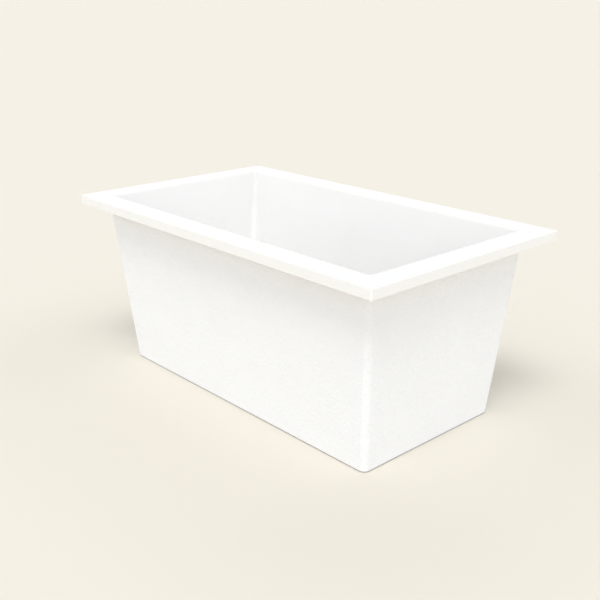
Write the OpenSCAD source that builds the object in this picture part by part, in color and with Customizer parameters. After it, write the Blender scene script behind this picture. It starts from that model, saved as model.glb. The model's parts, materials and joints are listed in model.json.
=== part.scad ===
// Freestanding rectangular bathtub: a basin with a wide flat rim, a tapered one-piece skirt,
// a hidden steel support frame on four levelling feet, a push-to-open waste with its trap,
// and a slim overflow with its hose.
// Millimetres. +Z is up, X is the length, Y is the width, and the floor is z = 0.

/* [Rim] */
// Outside length over the rim
tub_length = 1500; // [1300:10:1800]
// Outside width over the rim
tub_width = 870; // [760:5:950]
// Height of the deck above the floor
tub_height = 650; // [600:5:700]
// Height of the rim's turned-down lip
lip_height = 34; // [28:1:60]
// Width of the flat deck, from its outer edge to the opening
deck_width = 79; // [75:1:120]
// Radius where two lips meet, seen from above
rim_corner_radius = 6; // [4:1:30]
// Rounding along the deck's outer edge
rim_edge_radius = 3; // [1:0.5:6]
// Rounding along the opening's edge
opening_edge_radius = 9; // [4:1:14]

/* [Basin] */
// Wall thickness of the basin and the rim
shell_thickness = 6; // [4:0.5:8]
// Height of the basin's floor above the room's floor
basin_floor_height = 190; // [180:5:220]
// How far each wall leans in between the opening and the floor
basin_draft = 95; // [60:5:130]
// Radius of the basin's corners at the opening
basin_top_radius = 6; // [4:1:40]
// Radius of the basin's corners at its floor
basin_floor_radius = 70; // [50:5:110]
// Rounding between the walls and the floor
basin_fillet = 45; // [30:5:70]

/* [Skirt] */
// Distance from the rim's outer edge to the skirt just under the lip
rim_overhang = 73; // [70:1:110]
// How far each side of the skirt leans in between the lip and the floor
skirt_taper = 53; // [20:1:70]
// Radius of the skirt's upright corners
skirt_corner_radius = 22; // [10:1:60]
// Wall thickness of the skirt
skirt_thickness = 4; // [3:0.5:6]
// Shadow gap between the skirt and the floor
skirt_floor_gap = 3; // [2:1:6]

/* [Support frame] */
// Side of the square frame tube
tube_size = 30; // [25:5:40]
// Wall of the frame tube
tube_wall = 2; // [1.5:0.5:3]
// Thickness of the boards under the basin's floor
board_thickness = 15; // [12:1:18]
// Length of each board
board_length = 400; // [300:10:430]
// Width of each board
board_width = 400; // [300:10:420]
// Distance between the two boards, where the waste passes
board_gap = 170; // [160:5:240]
// Distance from the middle to each long rail's axis
rail_offset = 222; // [200:1:230]
// Half length of the long rails
rail_half_length = 500; // [420:5:520]

/* [Levelling feet] */
// Distance from the middle to the feet along the length
foot_x = 410; // [300:5:440]
// Diameter of a foot's pad
pad_diameter = 60; // [45:1:70]
// Diameter of a foot's stud
stud_diameter = 12; // [10:2:16]

/* [Waste and trap] */
// Diameter of the waste's flange
flange_diameter = 72; // [66:1:85]
// Diameter of the plug's cap
plug_diameter = 62; // [56:1:64]
// Outside diameter of the trap's cup
trap_diameter = 100; // [96:2:110]
// Outside diameter of the outlet pipe
outlet_diameter = 40; // [32:4:50]
// Distance from the waste to the outlet pipe's axis
outlet_reach = 115; // [105:5:140]

/* [Overflow] */
// Height of the overflow's middle above the floor
overflow_height = 535; // [500:5:560]
// Diameter of the overflow's cover
overflow_diameter = 70; // [60:1:80]
// Outside diameter of the overflow hose
hose_diameter = 22; // [20:1:24]

/* [Hidden] */
half_length = tub_length / 2;
half_width = tub_width / 2;
rim_underside = tub_height - lip_height;
deck_underside = tub_height - shell_thickness;
// The basin's wall starts below the rounded edge of the opening
wall_top = tub_height - opening_edge_radius;
wall_inset = deck_width + opening_edge_radius;
basin_half_length = half_length - wall_inset;
basin_half_width = half_width - wall_inset;
wall_depth = wall_top - basin_floor_height;
draft_angle = atan(basin_draft / wall_depth);
floor_underside = basin_floor_height - shell_thickness;
board_underside = floor_underside - board_thickness;
rail_underside = board_underside - tube_size;
rail_middle = rail_underside + tube_size / 2;
skirt_angle = atan(skirt_taper / (rim_underside - skirt_floor_gap));
// Small gap left where two pieces meet without touching
gap = 0.3;
// Radial play of a shaft that turns or slides in its hole
running_play = 0.05;
// The skirt runs up behind the battens and stops just under the deck
skirt_top = deck_underside - gap;
fillet_steps = 6;
edge_steps = 3;
corner_facets = 32;
round_facets = 64;
// Thickness of the layers that a hull is drawn around
layer = 0.01;

// How far the skirt's outer face lies inside the rim's outer edge at a height
function skirt_inset(z) = rim_overhang + (rim_underside - z) * tan(skirt_angle);
// Half size of the basin's inside at a height, from its half size at the opening
function basin_half(half, z) = half - (wall_top - z) * tan(draft_angle);
// Corner radius of the basin's inside at a height
function basin_radius(z) =
    basin_top_radius + (basin_floor_radius - basin_top_radius) * (wall_top - z) / wall_depth;
// Half size of the skirt's inside at a height, from the rim's half size
function skirt_inner(half, z) = half - skirt_inset(z) - skirt_thickness;

// Four upright rounded posts at the corners of a rectangle, to be hulled into a slab
module corner_posts(half_x, half_y, radius, z, height) {
    for (side_x = [-1, 1], side_y = [-1, 1])
        translate([side_x * (half_x - radius), side_y * (half_y - radius), z])
            cylinder(r = radius, h = height, $fn = corner_facets);
}

// Flat plate with rounded corners
module rounded_plate(half_x, half_y, radius, z, height) {
    hull()
        corner_posts(half_x, half_y, radius, z, height);
}

// Ring or tube standing on z
module ring(outer_radius, inner_radius, z, height) {
    translate([0, 0, z])
        difference() {
            cylinder(r = outer_radius, h = height, $fn = round_facets);
            translate([0, 0, -1])
                cylinder(r = inner_radius, h = height + 2, $fn = round_facets);
        }
}

// Hexagonal nut blank standing on z, with a round hole
module hex_nut(across_flats, hole_radius, z, height) {
    translate([0, 0, z])
        difference() {
            cylinder(r = across_flats / 2 / cos(30), h = height, $fn = 6);
            translate([0, 0, -1])
                cylinder(r = hole_radius, h = height + 2, $fn = round_facets);
        }
}

// ---------------------------------------------------------------- tub shell

// Outside of the rim: a thick slab with its upper outer edge rounded
module rim_block() {
    hull()
        for (step = [0:edge_steps]) {
            turn = 90 * step / edge_steps;
            inset = rim_edge_radius * (1 - cos(turn));
            drop = rim_edge_radius * (1 - sin(turn));
            corner_posts(half_length - inset, half_width - inset,
                rim_corner_radius - inset, rim_underside, lip_height - drop);
        }
}

// Convex block in the shape of the basin, grown outwards by a wall thickness
module basin_block(grow, top) {
    floor_z = basin_floor_height - grow;
    radius = basin_fillet + grow;
    centre_z = floor_z + radius;
    centre_inset = radius / cos(draft_angle) - grow;
    hull() {
        corner_posts(basin_half(basin_half_length, top) + grow,
            basin_half(basin_half_width, top) + grow,
            basin_radius(top) + grow, top, layer);
        // Rounding between the walls and the floor, from the wall down to the floor
        for (step = [0:fillet_steps]) {
            turn = draft_angle + (90 - draft_angle) * step / fillet_steps;
            z = centre_z - radius * sin(turn);
            inset = centre_inset - radius * cos(turn);
            half_x = basin_half(basin_half_length, centre_z) - inset;
            half_y = basin_half(basin_half_width, centre_z) - inset;
            corner_radius = basin_radius(z) + grow
                - (basin_half(basin_half_length, z) + grow - half_x);
            corner_posts(half_x, half_y, corner_radius, z, layer);
        }
    }
}

// Flared mouth of the opening, which leaves a rounded edge along the deck
module opening_flare() {
    for (step = [0:edge_steps - 1])
        hull()
            for (turn = [90 * step / edge_steps, 90 * (step + 1) / edge_steps]) {
                offset_out = opening_edge_radius * (1 - cos(turn));
                rise = opening_edge_radius * sin(turn);
                corner_posts(basin_half_length + offset_out, basin_half_width + offset_out,
                    basin_top_radius + offset_out, wall_top + rise,
                    turn == 90 ? 1 : layer);
            }
}

// Stands children on the inside of the basin's front wall at the overflow: their +Z points
// into the basin and their +Y points down along the wall
module at_overflow() {
    translate([0, -basin_half(basin_half_width, overflow_height), overflow_height])
        rotate([draft_angle - 90, 0, 0])
            children();
}

waste_hole_radius = 26.2;
waste_recess_radius = flange_diameter / 2 + 1;
waste_recess_depth = 2;
overflow_hole_radius = 24;

module tub_shell() {
    color("white")
        difference() {
            union() {
                difference() {
                    rim_block();
                    // Hollow of the turned-down lip
                    translate([-half_length + shell_thickness, -half_width + shell_thickness,
                        rim_underside - 1])
                        cube([tub_length - 2 * shell_thickness, tub_width - 2 * shell_thickness,
                            lip_height - shell_thickness + 1]);
                }
                basin_block(shell_thickness, tub_height - shell_thickness / 2);
            }
            basin_block(0, wall_top);
            opening_flare();
            translate([0, 0, floor_underside - 1])
                cylinder(r = waste_hole_radius, h = shell_thickness + 2, $fn = round_facets);
            translate([0, 0, basin_floor_height - waste_recess_depth])
                cylinder(r = waste_recess_radius, h = 5, $fn = round_facets);
            at_overflow()
                translate([0, 0, -20])
                    cylinder(r = overflow_hole_radius, h = 30, $fn = round_facets);
        }
}

// ---------------------------------------------------------------- skirt

// Solid in the shape of the skirt, shrunk inwards on all four sides
module skirt_block(shrink, bottom, top) {
    hull()
        for (z = [bottom, top])
            corner_posts(half_length - skirt_inset(z) - shrink,
                half_width - skirt_inset(z) - shrink,
                skirt_corner_radius - shrink, z, layer);
}

module skirt() {
    color("whitesmoke")
        difference() {
            skirt_block(0, skirt_floor_gap, skirt_top - layer);
            skirt_block(skirt_thickness, skirt_floor_gap - 1, skirt_top + 1);
        }
}

// Four boards that fill the lip's hollow, bonded between the lip and the skirt
batten_gap = 0.5;

module rim_battens() {
    outer_x = half_length - shell_thickness - batten_gap;
    outer_y = half_width - shell_thickness - batten_gap;
    inner_inset = skirt_inset(deck_underside) - batten_gap;
    inner_x = half_length - inner_inset;
    inner_y = half_width - inner_inset;
    height = lip_height - shell_thickness - gap - 1;
    color("burlywood")
        for (side = [-1, 1]) {
            translate([-outer_x, side > 0 ? inner_y : -outer_y, rim_underside + 1])
                cube([2 * outer_x, outer_y - inner_y, height]);
            translate([side > 0 ? inner_x : -outer_x, -inner_y + gap, rim_underside + 1])
                cube([outer_x - inner_x, 2 * (inner_y - gap), height]);
        }
}

// ---------------------------------------------------------------- support frame

cross_rail_x = [-foot_x, -board_gap / 2 - 30, board_gap / 2 + 30, foot_x];
board_screw_y = [-120, 120];
bracket_width = 40;
bracket_thickness = 3;
bracket_rise = 40;
bracket_x = 300;
bracket_end_x = rail_half_length - 30;
screw_radius = 2.5;
screw_hole_radius = 2.6;
screw_head_radius = 5;
insert_radius = 8.5;
stud_radius = stud_diameter / 2;

// Places children at one foot: -1 is left or front, 1 is right or back
module at_foot(side_x, side_y) {
    translate([side_x * foot_x, side_y * rail_offset, 0])
        children();
}

// Places children at all four feet
module at_feet() {
    for (side_x = [-1, 1], side_y = [-1, 1])
        at_foot(side_x, side_y)
            children();
}

// Places children at every board screw
module at_board_screws() {
    for (x = cross_rail_x, y = board_screw_y)
        translate([x, y, 0])
            children();
}

// Places children at every bracket screw on top of the long rails
module at_bracket_screws() {
    for (x = [-bracket_end_x, -bracket_x, bracket_x, bracket_end_x], side = [-1, 1])
        translate([x, side * rail_offset, board_underside])
            children();
}

module base_boards() {
    color("tan")
        difference() {
            for (side = [-1, 1])
                translate([side > 0 ? board_gap / 2 : -board_gap / 2 - board_length,
                    -board_width / 2, board_underside])
                    cube([board_length, board_width, board_thickness]);
            at_board_screws()
                translate([0, 0, board_underside - 1])
                    cylinder(r = screw_hole_radius, h = 12, $fn = 32);
        }
}

// Square tube lying along X, centred on the origin
module square_tube(length) {
    difference() {
        cube([length, tube_size, tube_size], center = true);
        cube([length + 2, tube_size - 2 * tube_wall, tube_size - 2 * tube_wall], center = true);
    }
}

module frame_long_rails() {
    color("slategray")
        difference() {
            for (side = [-1, 1])
                translate([0, side * rail_offset, rail_middle])
                    square_tube(2 * rail_half_length);
            at_feet()
                translate([0, 0, rail_underside - 1])
                    cylinder(r = insert_radius + 0.1, h = tube_wall + 2,
                        $fn = round_facets);
            at_bracket_screws()
                translate([0, 0, -tube_wall - 1])
                    cylinder(r = screw_hole_radius, h = tube_wall + 2, $fn = 32);
        }
}

module frame_cross_rails() {
    color("slategray")
        difference() {
            for (x = cross_rail_x)
                translate([x, 0, rail_middle])
                    rotate([0, 0, 90])
                        square_tube(2 * rail_offset - tube_size);
            at_board_screws()
                translate([0, 0, rail_underside - 1])
                    cylinder(r = screw_hole_radius, h = tube_size + 2, $fn = 32);
        }
}

module board_screws() {
    color("silver")
        at_board_screws() {
            translate([0, 0, rail_underside - 3])
                cylinder(r1 = screw_head_radius - 1, r2 = screw_head_radius, h = 3, $fn = 32);
            translate([0, 0, rail_underside - layer])
                cylinder(r = screw_radius, h = tube_size + 10, $fn = 32);
        }
}

// Bent strip from a rail's top out to the skirt, seen along the rail, for a rim half size
module bracket_profile(half, start) {
    low = board_underside;
    bend = low + bracket_thickness;
    top = low + bracket_rise;
    polygon([
        [start, low],
        [skirt_inner(half, low) - gap, low],
        [skirt_inner(half, top) - gap, top],
        [skirt_inner(half, top) - gap - bracket_thickness, top],
        [skirt_inner(half, bend) - gap - bracket_thickness, bend],
        [start, bend],
    ]);
}

// Bracket reaching out along +X, centred on y = 0
module skirt_bracket(half, start) {
    rotate([90, 0, 0])
        linear_extrude(height = bracket_width, center = true)
            bracket_profile(half, start);
}

module skirt_brackets() {
    color("gainsboro")
        difference() {
            for (turn = [0, 180]) {
                for (x = [-bracket_x, bracket_x])
                    rotate([0, 0, turn])
                        translate([x, 0, 0])
                            rotate([0, 0, 90])
                                skirt_bracket(half_width, rail_offset - 12);
                for (side = [-1, 1])
                    rotate([0, 0, turn])
                        translate([0, side * rail_offset, 0])
                            skirt_bracket(half_length, bracket_end_x - 14);
            }
            at_bracket_screws()
                translate([0, 0, -1])
                    cylinder(r = screw_hole_radius, h = bracket_thickness + 2, $fn = 32);
        }
}

module bracket_screws() {
    color("silver")
        at_bracket_screws() {
            translate([0, 0, bracket_thickness])
                cylinder(r = screw_head_radius, h = 3, $fn = 32);
            translate([0, 0, bracket_thickness - 12])
                cylinder(r = screw_radius, h = 12 + layer, $fn = 32);
        }
}

// ---------------------------------------------------------------- levelling feet

pad_height = 8;
pad_boss_height = 6;
socket_floor = 4;
insert_flange = 1.5;
lock_nut_height = 10;
stud_top = rail_underside + tube_size - tube_wall - 3;

module foot_inserts() {
    color("goldenrod")
        at_feet()
            union() {
                ring(insert_radius + 3, stud_radius + running_play,
                    rail_underside - insert_flange, insert_flange);
                ring(insert_radius, stud_radius + running_play,
                    rail_underside - insert_flange, 18);
            }
}

module foot_lock_nuts() {
    color("silver")
        at_feet()
            hex_nut(19, stud_radius + running_play,
                rail_underside - insert_flange - lock_nut_height, lock_nut_height);
}

module foot_pad() {
    color("dimgray")
        difference() {
            union() {
                cylinder(r1 = pad_diameter / 2 - 1, r2 = pad_diameter / 2, h = 2,
                    $fn = round_facets);
                translate([0, 0, 2])
                    cylinder(r = pad_diameter / 2, h = pad_height - 4, $fn = round_facets);
                translate([0, 0, pad_height - 2])
                    cylinder(r1 = pad_diameter / 2, r2 = pad_diameter / 2 - 4, h = 2,
                        $fn = round_facets);
                cylinder(r = stud_radius + 8, h = pad_height + pad_boss_height,
                    $fn = round_facets);
            }
            translate([0, 0, socket_floor])
                cylinder(r = stud_radius + running_play, h = pad_height + pad_boss_height,
                    $fn = round_facets);
        }
}

module foot_stud() {
    color("silver")
        union() {
            translate([0, 0, socket_floor + gap])
                cylinder(r = stud_radius, h = stud_top - socket_floor - gap - 1,
                    $fn = round_facets);
            translate([0, 0, stud_top - 1])
                cylinder(r1 = stud_radius, r2 = stud_radius - 1, h = 1, $fn = round_facets);
            // Hexagon that a spanner turns
            translate([0, 0, pad_height + pad_boss_height + 2])
                cylinder(r = 17 / 2 / cos(30), h = 8, $fn = 6);
        }
}

// ---------------------------------------------------------------- waste

flange_radius = flange_diameter / 2;
flange_seat = basin_floor_height - waste_recess_depth;
top_seal_height = 1.2;
flange_base = flange_seat + top_seal_height;
flange_height = 2;
flange_dish_depth = 1.3;
flange_bore = 22;
neck_radius = 25.5;
neck_bottom = 158;
hub_bottom = 164;
hub_height = 7;
hub_radius = 9;
spigot_radius = 5;
barrel_radius = 8;
stem_radius = 4;
plug_travel = 10;
plug_radius = plug_diameter / 2;
plug_underside = flange_base + flange_height + gap;
lower_seal_height = 4;

module waste_flange() {
    color("silver")
        difference() {
            union() {
                difference() {
                    translate([0, 0, flange_base])
                        cylinder(r = flange_radius, h = flange_height, $fn = round_facets);
                    translate([0, 0, flange_base + flange_height - flange_dish_depth])
                        cylinder(r = plug_radius - 0.5, h = 5, $fn = round_facets);
                }
                translate([0, 0, neck_bottom])
                    cylinder(r = neck_radius, h = flange_base - neck_bottom + 0.3,
                        $fn = round_facets);
            }
            difference() {
                translate([0, 0, neck_bottom - 1])
                    cylinder(r = flange_bore, h = 50, $fn = round_facets);
                // Cross with a hub that the cartridge screws into
                translate([0, 0, hub_bottom])
                    cylinder(r = hub_radius, h = hub_height, $fn = round_facets);
                for (turn = [0, 90])
                    rotate([0, 0, turn])
                        translate([-30, -2, hub_bottom])
                            cube([60, 4, hub_height - 1]);
            }
            translate([0, 0, hub_bottom - 1])
                cylinder(r = spigot_radius + running_play, h = hub_height + 2,
                    $fn = round_facets);
        }
}

module waste_top_seal() {
    color("dimgray")
        ring(flange_radius - 1, waste_hole_radius + 0.3, flange_seat, top_seal_height);
}

module waste_lower_seal() {
    color("dimgray")
        ring(flange_radius - 1, neck_radius + gap, floor_underside - lower_seal_height,
            lower_seal_height);
}

module plug_cartridge() {
    color("goldenrod")
        difference() {
            union() {
                translate([0, 0, hub_bottom - 4])
                    cylinder(r = spigot_radius, h = hub_height + 5, $fn = round_facets);
                translate([0, 0, hub_bottom + hub_height])
                    cylinder(r = barrel_radius, h = 13, $fn = round_facets);
            }
            translate([0, 0, hub_bottom - 1])
                cylinder(r = stem_radius + running_play, h = 50, $fn = round_facets);
        }
}

module plug_stem() {
    color("silver")
        translate([0, 0, hub_bottom])
            cylinder(r = stem_radius, h = plug_underside - hub_bottom, $fn = round_facets);
}

module plug_cap() {
    color("silver")
        translate([0, 0, plug_underside])
            union() {
                cylinder(r = plug_radius, h = 1.6, $fn = round_facets);
                translate([0, 0, 1.6])
                    cylinder(r1 = plug_radius, r2 = plug_radius - 1.4, h = 1.2,
                        $fn = round_facets);
                translate([0, 0, 2.8])
                    cylinder(r1 = plug_radius - 1.4, r2 = plug_radius - 7, h = 0.8,
                        $fn = round_facets);
            }
}

module plug_seal() {
    color("black")
        ring(plug_radius - 2, 17, plug_underside - 1.2, 1.2);
}

// ---------------------------------------------------------------- trap

trap_radius = trap_diameter / 2;
head_radius = trap_radius - 4;
head_wall = 3.5;
head_bottom = 84;
head_top = floor_underside - lower_seal_height;
dip_bottom = 62;
dip_radius = 27;
cup_bottom = 42;
cup_top = 94;
cup_wall = 3;
ring_seal_height = 2;
outlet_radius = outlet_diameter / 2;
outlet_wall = 2;
outlet_z = 130;
socket_radius = outlet_radius + 4;
socket_mouth = trap_radius + 20;
outlet_seal_length = 3;
nut_length = 20;
bend_radius = 40;
spigot_bottom = 12;
inlet_z = 112;
hose_radius = hose_diameter / 2;
hose_wall = 1.8;
nipple_radius = hose_radius - hose_wall - 0.2;
nipple_bore = nipple_radius - 1.8;
nipple_tip = 76;

// Cylinder lying along +Y from one y to another at a height
module along_y(radius, from, to, z) {
    translate([0, from, z])
        rotate([-90, 0, 0])
            cylinder(r = radius, h = to - from, $fn = round_facets);
}

module trap_head() {
    color("white")
        difference() {
            union() {
                translate([0, 0, head_top - 5])
                    cylinder(r = flange_radius, h = 5, $fn = round_facets);
                translate([0, 0, head_top - 15])
                    cylinder(r1 = head_radius, r2 = flange_radius, h = 10, $fn = round_facets);
                ring(head_radius, head_radius - head_wall, head_bottom,
                    head_top - 15 - head_bottom);
                translate([0, 0, head_top - 15 - head_wall])
                    cylinder(r = head_radius, h = head_wall + layer, $fn = round_facets);
                translate([0, 0, dip_bottom])
                    cylinder(r = dip_radius, h = head_top - 15 - dip_bottom, $fn = round_facets);
                difference() {
                    along_y(socket_radius, head_radius - 8, socket_mouth, outlet_z);
                    along_y(outlet_radius + gap, trap_radius + 2, socket_mouth + 1, outlet_z);
                }
                along_y(nipple_radius + 2, -trap_radius - 6, -dip_radius + 4, inlet_z);
                along_y(nipple_radius, -nipple_tip, -dip_radius + 4, inlet_z);
            }
            // The waste's neck screws into the top, and the dip tube carries on below it
            translate([0, 0, neck_bottom - gap])
                cylinder(r = neck_radius + running_play, h = 50, $fn = round_facets);
            translate([0, 0, dip_bottom - 1])
                cylinder(r = dip_radius - 3, h = 110, $fn = round_facets);
            along_y(outlet_radius - outlet_wall, head_radius - 9, trap_radius + 4, outlet_z);
            along_y(nipple_bore, -nipple_tip - 1, -dip_radius + 6, inlet_z);
        }
}

module trap_ring_seal() {
    color("black")
        ring(head_radius, head_radius - 3, head_bottom - ring_seal_height, ring_seal_height);
}

module trap_cup() {
    seat = head_bottom - ring_seal_height;
    color("white")
        difference() {
            union() {
                translate([0, 0, cup_bottom])
                    cylinder(r1 = trap_radius - 8, r2 = trap_radius - 1, h = 10,
                        $fn = round_facets);
                translate([0, 0, cup_bottom + 10])
                    cylinder(r = trap_radius - 1, h = cup_top - cup_bottom - 10,
                        $fn = round_facets);
                // Grip ring with ribs for unscrewing the cup
                translate([0, 0, cup_top - 14])
                    cylinder(r = trap_radius, h = 14, $fn = round_facets);
                for (rib = [0:11])
                    rotate([0, 0, 15 + rib * 30])
                        translate([trap_radius - 2, -2, cup_top - 13])
                            cube([5, 4, 12]);
            }
            translate([0, 0, cup_bottom + cup_wall])
                cylinder(r = head_radius - 3, h = 100, $fn = round_facets);
            translate([0, 0, seat])
                cylinder(r = head_radius + 0.2, h = 100, $fn = round_facets);
        }
}

module outlet_seal() {
    color("black")
        difference() {
            along_y(socket_radius, socket_mouth, socket_mouth + outlet_seal_length, outlet_z);
            along_y(outlet_radius + 0.1, socket_mouth - 1, socket_mouth + 10, outlet_z);
        }
}

module outlet_nut() {
    end = socket_mouth + outlet_seal_length + 4;
    color("white")
        difference() {
            union() {
                along_y(socket_radius + 4, end - nut_length, end, outlet_z);
                for (rib = [0:11])
                    translate([0, end - nut_length, outlet_z])
                        rotate([0, rib * 30, 0])
                            translate([socket_radius + 3, 0, -2])
                                cube([3.5, nut_length - 3, 4]);
            }
            along_y(socket_radius + 0.2, end - nut_length - 1, end - 4, outlet_z);
            along_y(outlet_radius + gap, end - 5, end + 1, outlet_z);
        }
}

// Swept elbow in the plane x = 0 with straight ends, as a solid of one radius
module elbow_solid(radius, extra) {
    translate([0, trap_radius + 6 - extra, outlet_z])
        rotate([-90, 0, 0])
            cylinder(r = radius, h = outlet_reach - bend_radius - trap_radius - 6 + extra,
                $fn = round_facets);
    translate([0, outlet_reach - bend_radius, outlet_z - bend_radius])
        rotate([0, -90, 0])
            rotate_extrude(angle = 90, $fn = round_facets)
                translate([bend_radius, 0])
                    circle(r = radius, $fn = round_facets);
    translate([0, outlet_reach, spigot_bottom - extra])
        cylinder(r = radius, h = outlet_z - bend_radius - spigot_bottom + extra,
            $fn = round_facets);
}

module outlet_elbow() {
    color("white")
        difference() {
            elbow_solid(outlet_radius, 0);
            elbow_solid(outlet_radius - outlet_wall, 1);
        }
}

// ---------------------------------------------------------------- overflow

overflow_radius = overflow_diameter / 2;
// Back of the basin's wall, measured square to the wall
wall_back = -shell_thickness * cos(draft_angle);
overflow_seal_height = 2.5;
overflow_body_front = wall_back - overflow_seal_height;
overflow_body_depth = 10;
overflow_body_radius = 33;
overflow_screw_radius = 3;
overflow_neck_radius = 23.4;
overflow_bore = 20;
spout_z = wall_back - hose_radius - 2.2;
chamber_start = 34;
chamber_length = 14;
chamber_depth = 20;
chamber_wall = 1.5;
spout_end = 72;
hose_bend = 45;
hose_top_overlap = 16;

module overflow_cover() {
    color("silver")
        at_overflow()
            difference() {
                union() {
                    translate([0, 0, 4])
                        cylinder(r = overflow_radius, h = 6, $fn = round_facets);
                    translate([0, 0, 10])
                        cylinder(r1 = overflow_radius, r2 = overflow_radius - 2, h = 1.5,
                            $fn = round_facets);
                }
                translate([0, 0, 3])
                    cylinder(r = overflow_radius - 1.5, h = 6.5, $fn = round_facets);
                translate([0, 0, 8])
                    cylinder(r = overflow_screw_radius + 0.2, h = 5, $fn = 32);
                translate([0, 0, 10.2])
                    cylinder(r = 6.2, h = 3, $fn = 32);
            }
}

module overflow_screw() {
    color("silver")
        at_overflow()
            difference() {
                union() {
                    translate([0, 0, 10.2])
                        cylinder(r = 6, h = 1.6, $fn = 32);
                    translate([0, 0, -4])
                        cylinder(r = overflow_screw_radius, h = 14.5, $fn = 32);
                }
                // Hexagon socket
                translate([0, 0, 10.6])
                    cylinder(r = 2, h = 3, $fn = 6);
            }
}

module overflow_flange() {
    color("silver")
        at_overflow()
            difference() {
                union() {
                    translate([0, 0, 0.2])
                        cylinder(r = overflow_radius - 4, h = 2, $fn = round_facets);
                    translate([0, 0, overflow_body_front - 2])
                        cylinder(r = overflow_neck_radius, h = -overflow_body_front + 3,
                            $fn = round_facets);
                }
                difference() {
                    translate([0, 0, -30])
                        cylinder(r = overflow_bore, h = 60, $fn = round_facets);
                    // Bar with a hub that the cover's screw goes into
                    translate([0, 0, -5])
                        cylinder(r = 6, h = 6, $fn = round_facets);
                    translate([-25, -2.5, -5])
                        cube([50, 5, 5]);
                }
                translate([0, 0, -6])
                    cylinder(r = overflow_screw_radius + running_play, h = 10, $fn = 32);
            }
}

module overflow_seal() {
    color("black")
        at_overflow()
            ring(overflow_body_radius - 2, overflow_neck_radius + gap, overflow_body_front,
                overflow_seal_height);
}

// Outside or inside of the slim body behind the wall: a flat round box that leads down into
// a deeper chamber above the spout
module overflow_body_solid(shrink) {
    front = overflow_body_front - shrink;
    depth = overflow_body_depth - 2 * shrink;
    translate([0, 0, front - depth])
        cylinder(r = overflow_body_radius - shrink, h = depth, $fn = round_facets);
    translate([-14 + shrink, 0, front - depth])
        cube([28 - 2 * shrink, chamber_start + 5, depth]);
    translate([-12 + shrink, chamber_start + shrink,
        overflow_body_front - chamber_depth + shrink])
        cube([24 - 2 * shrink, chamber_length - 2 * shrink, chamber_depth - 2 * shrink]);
}

module overflow_body() {
    color("white")
        at_overflow()
            difference() {
                union() {
                    overflow_body_solid(0);
                    translate([0, chamber_start + chamber_length - 1, spout_z])
                        rotate([-90, 0, 0])
                            cylinder(r = nipple_radius,
                                h = spout_end - chamber_start - chamber_length + 1,
                                $fn = round_facets);
                }
                overflow_body_solid(chamber_wall);
                translate([0, 0, overflow_body_front - 5])
                    cylinder(r = overflow_neck_radius + running_play, h = 10,
                        $fn = round_facets);
                translate([0, chamber_start + chamber_length - 3, spout_z])
                    rotate([-90, 0, 0])
                        cylinder(r = nipple_bore, h = spout_end, $fn = round_facets);
            }
}

// The hose runs straight down behind the wall from the spout, then bends to lie level
hose_top_z = overflow_height - (spout_end - hose_top_overlap) * cos(draft_angle)
    + spout_z * sin(draft_angle);
hose_top_y = -basin_half(basin_half_width, overflow_height)
    + (spout_end - hose_top_overlap) * sin(draft_angle) + spout_z * cos(draft_angle);
bend_top_z = inlet_z + hose_bend * (1 - sin(draft_angle));
hose_straight = (hose_top_z - bend_top_z) / cos(draft_angle);
bend_centre_y = hose_top_y + hose_straight * sin(draft_angle) + hose_bend * cos(draft_angle);
hose_end_y = -nipple_tip + hose_top_overlap;

// The hose's path as a solid of one radius, with both ends made longer
module hose_solid(radius, extra) {
    translate([0, hose_top_y, hose_top_z])
        rotate([180 + draft_angle, 0, 0])
            translate([0, 0, -extra])
                cylinder(r = radius, h = hose_straight + extra, $fn = round_facets);
    translate([0, bend_centre_y, inlet_z + hose_bend])
        rotate([0, 90, 0])
            rotate([0, 0, draft_angle - 90])
                rotate_extrude(angle = 90 - draft_angle, $fn = round_facets)
                    translate([hose_bend, 0])
                        circle(r = radius, $fn = round_facets);
    along_y(radius, bend_centre_y, hose_end_y + extra, inlet_z);
}

// Raised cuffs where the hose's straight ends and where its bend ends
module hose_cuffs() {
    cuff_length = 8;
    cuff_height = 1.2;
    translate([0, hose_top_y, hose_top_z])
        rotate([180 + draft_angle, 0, 0])
            translate([0, 0, hose_straight - cuff_length / 2])
                cylinder(r = hose_radius + cuff_height, h = cuff_length, $fn = round_facets);
    along_y(hose_radius + cuff_height, bend_centre_y - cuff_length / 2,
        bend_centre_y + cuff_length / 2, inlet_z);
}

module overflow_hose() {
    color("lightgray")
        difference() {
            union() {
                hose_solid(hose_radius, 0);
                hose_cuffs();
            }
            hose_solid(hose_radius - hose_wall, 1);
        }
}

// Two bands that clamp the hose's ends on their nipples
clip_width = 9;
clip_thickness = 1.2;

module clip_band() {
    rotate([-90, 0, 0])
        ring(hose_radius + clip_thickness + 0.1, hose_radius + 0.1, -clip_width / 2,
            clip_width);
}

module hose_clips() {
    color("silver") {
        at_overflow()
            translate([0, spout_end - hose_top_overlap / 2, spout_z])
                clip_band();
        translate([0, -nipple_tip + hose_top_overlap / 2, inlet_z])
            clip_band();
    }
}

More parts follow.
